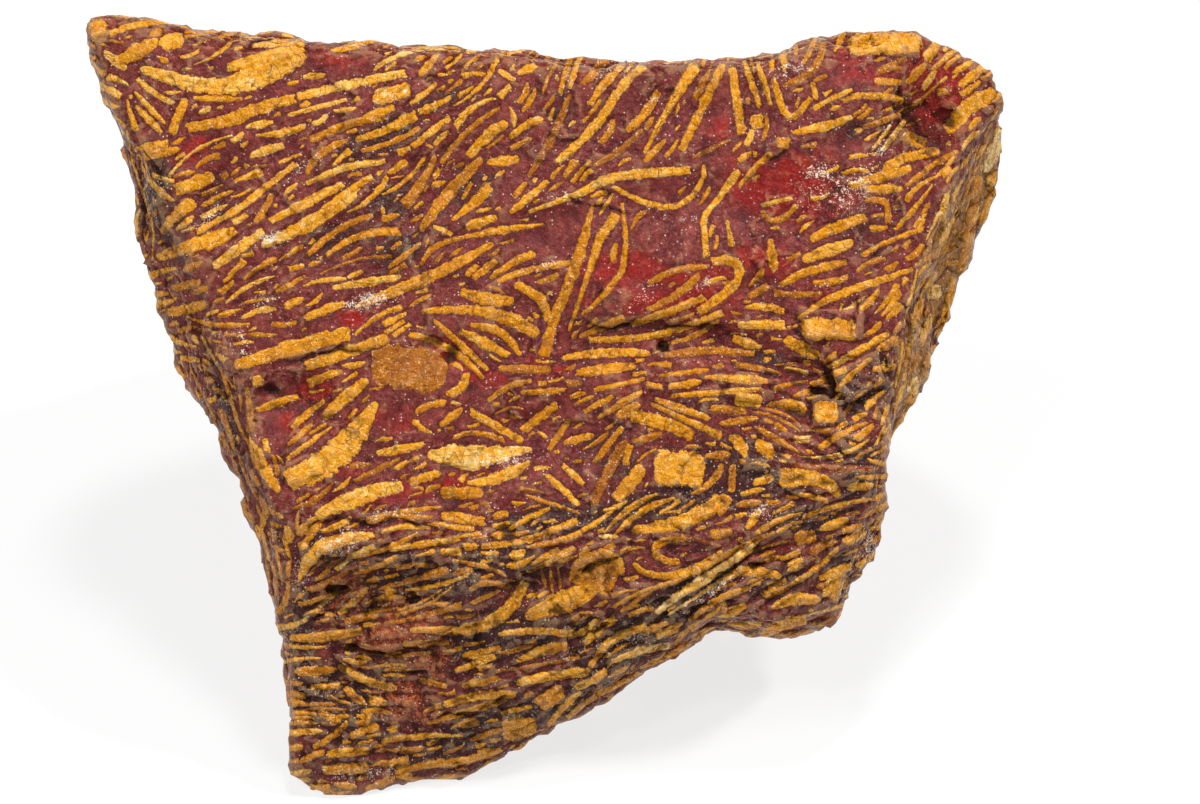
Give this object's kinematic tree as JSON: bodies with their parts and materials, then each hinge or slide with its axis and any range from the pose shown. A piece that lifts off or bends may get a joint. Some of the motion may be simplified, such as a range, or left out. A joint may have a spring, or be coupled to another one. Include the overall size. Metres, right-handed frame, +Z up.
{
  "type": "snakeskin jasper stone",
  "caption": "Rough chunk of scale-patterned jasper with a broad leaning fracture face, a pointed upper corner and a lobed lower edge, standing on a small flat spot.",
  "frame": {"origin": "on the floor under the middle of the stone's bounding box", "axes": "+Z up, +X to the right along the broad fracture face, -Y towards the side that the broad face looks to"},
  "size_m": [0.0718, 0.058, 0.0477],
  "materials": {
    "jasper": "fine-grained, slightly waxy broken surface, maroon with ochre plates"
  },
  "bodies": {
    "root": {"jasper_stone": "jasper"}
  },
  "joints": []
}
